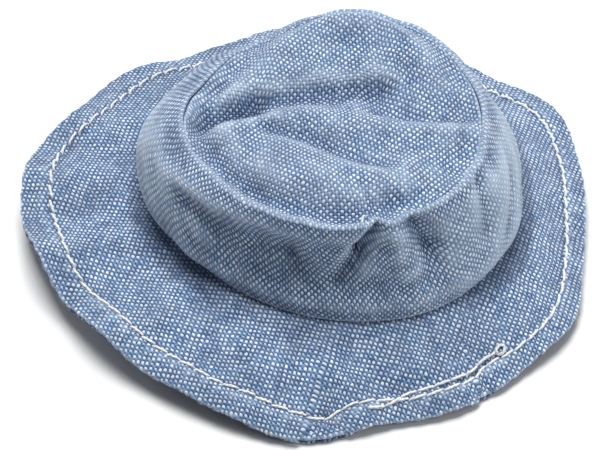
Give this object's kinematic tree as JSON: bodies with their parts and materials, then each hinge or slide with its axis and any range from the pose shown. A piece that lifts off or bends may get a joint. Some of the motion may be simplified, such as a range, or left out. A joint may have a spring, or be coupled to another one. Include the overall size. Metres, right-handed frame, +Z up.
{
  "type": "doll bucket hat",
  "caption": "Soft woven bucket hat for a small doll or toy bear, lying on its brim: round tip, side band and drooping double-layer brim with a row of topstitching.",
  "frame": {"origin": "on the surface the hat lies on, under the middle of the hat's box", "axes": "+Z up through the crown, -Y to the front of the hat, +X to the right as seen from the front"},
  "size_m": [0.0774, 0.0784, 0.0245],
  "materials": {
    "chambray": "matte plain weave, blue warp and white weft",
    "interlining": "matte bonded fleece",
    "sewing_thread": "twisted polyester thread, slight sheen"
  },
  "bodies": {
    "root": {"crown_tip": "chambray", "crown_side_band": "chambray", "brim_upper": "chambray", "brim_interlining": "interlining", "brim_under": "chambray", "topstitch_needle_thread": "sewing_thread", "topstitch_bobbin_thread": "sewing_thread", "tip_seam_thread": "sewing_thread", "brim_seam_thread": "sewing_thread", "band_end_seam_thread": "sewing_thread"}
  },
  "joints": []
}
